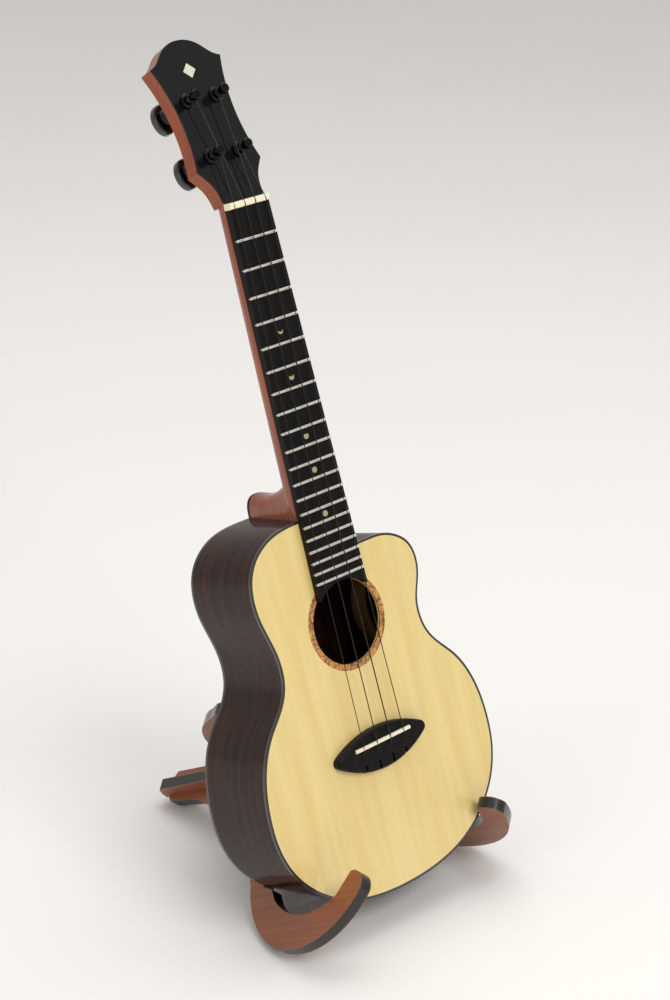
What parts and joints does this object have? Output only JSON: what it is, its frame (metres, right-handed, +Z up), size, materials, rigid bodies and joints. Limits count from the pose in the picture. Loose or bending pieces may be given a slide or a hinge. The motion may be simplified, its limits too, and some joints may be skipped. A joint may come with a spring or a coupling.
{
  "type": "ukulele on stand",
  "caption": "Cutaway ukulele with a spruce top and dark rosewood body, leaning back in a wooden stand made of two slotted plates.",
  "frame": {"origin": "on the floor, at the middle of the overall footprint", "axes": "+Z up, -Y is the front (the soundboard faces it), +X to the right seen from the front"},
  "size_m": [0.2446, 0.3028, 0.6694],
  "materials": {
    "spruce": "glossy clear lacquer",
    "spalted_wood": "glossy",
    "black_edge_wood": "glossy",
    "dark_rosewood": "high gloss",
    "inner_wood": "bare",
    "mahogany": "glossy",
    "black_lacquer": "high gloss",
    "pearl": "polished",
    "ebony": "satin",
    "nickel_silver": "polished",
    "bone": "polished",
    "string_nylon": "smooth",
    "black_metal": "gloss",
    "black_button": "gloss",
    "screw_steel": "satin",
    "stand_wood": "satin, blackened edges"
  },
  "bodies": {
    "stand": {"stand_plate_right": "stand_wood", "stand_plate_left": "stand_wood"},
    "instrument": {"soundboard": "spruce", "rosette": "spalted_wood", "top_binding": "black_edge_wood", "sides": "dark_rosewood", "back_plate": "dark_rosewood", "back_binding": "black_edge_wood", "top_lining": "inner_wood", "back_lining": "inner_wood", "neck_block": "inner_wood", "tail_block": "inner_wood", "top_braces": "inner_wood", "back_braces": "inner_wood", "bridge_plate": "inner_wood", "neck": "mahogany", "neck_bolt": "screw_steel", "heel_cap": "dark_rosewood", "head_veneer": "black_lacquer", "head_inlay": "pearl", "fingerboard": "ebony", "frets": "nickel_silver", "position_markers": "pearl", "side_dots": "pearl", "nut": "bone", "saddle": "bone", "bridge": "ebony", "string_knots": "string_nylon", "tuner_housings": "black_metal", "tuner_bushings": "black_metal", "string_1": "string_nylon", "string_2": "string_nylon", "string_3": "string_nylon", "string_4": "string_nylon"},
    "post_1": {"tuner_post_1": "black_metal", "string_winding_1": "string_nylon"},
    "button_1": {"tuner_button_1": "black_button", "button_screw_1": "screw_steel"},
    "post_2": {"tuner_post_2": "black_metal", "string_winding_2": "string_nylon"},
    "button_2": {"tuner_button_2": "black_button", "button_screw_2": "screw_steel"},
    "post_3": {"tuner_post_3": "black_metal", "string_winding_3": "string_nylon"},
    "button_3": {"tuner_button_3": "black_button", "button_screw_3": "screw_steel"},
    "post_4": {"tuner_post_4": "black_metal", "string_winding_4": "string_nylon"},
    "button_4": {"tuner_button_4": "black_button", "button_screw_4": "screw_steel"}
  },
  "joints": [
    {"name": "lift_off", "type": "slide", "parent": "stand", "child": "instrument", "axis": [-0.0217, 0.3211, 0.9468], "range_m": [0, 0.15]},
    {"name": "button_turn_1", "type": "hinge", "parent": "instrument", "child": "button_1", "pos_m": [-0.02773, 0.07462, 0.58996], "axis": [-0.1067, -0.8273, 0.5515], "continuous": true},
    {"name": "post_turn_1", "type": "hinge", "parent": "instrument", "child": "post_1", "pos_m": [-0.02773, 0.07462, 0.58996], "axis": [-0.1067, -0.8273, 0.5515], "continuous": true},
    {"name": "button_turn_2", "type": "hinge", "parent": "instrument", "child": "button_2", "pos_m": [-0.02745, 0.09984, 0.62784], "axis": [-0.1067, -0.8273, 0.5515], "continuous": true},
    {"name": "post_turn_2", "type": "hinge", "parent": "instrument", "child": "post_2", "pos_m": [-0.02745, 0.09984, 0.62784], "axis": [-0.1067, -0.8273, 0.5515], "continuous": true},
    {"name": "button_turn_3", "type": "hinge", "parent": "instrument", "child": "button_3", "pos_m": [0.00039, 0.09725, 0.62935], "axis": [-0.1067, -0.8273, 0.5515], "continuous": true},
    {"name": "post_turn_3", "type": "hinge", "parent": "instrument", "child": "post_3", "pos_m": [0.00039, 0.09725, 0.62935], "axis": [-0.1067, -0.8273, 0.5515], "continuous": true},
    {"name": "button_turn_4", "type": "hinge", "parent": "instrument", "child": "button_4", "pos_m": [0.00011, 0.07204, 0.59148], "axis": [-0.1067, -0.8273, 0.5515], "continuous": true},
    {"name": "post_turn_4", "type": "hinge", "parent": "instrument", "child": "post_4", "pos_m": [0.00011, 0.07204, 0.59148], "axis": [-0.1067, -0.8273, 0.5515], "continuous": true}
  ],
  "couplings": [
    {"joint": "post_turn_1", "follows": "button_turn_1", "ratio": 0.25},
    {"joint": "post_turn_2", "follows": "button_turn_2", "ratio": 0.25},
    {"joint": "post_turn_3", "follows": "button_turn_3", "ratio": 0.25},
    {"joint": "post_turn_4", "follows": "button_turn_4", "ratio": 0.25}
  ]
}
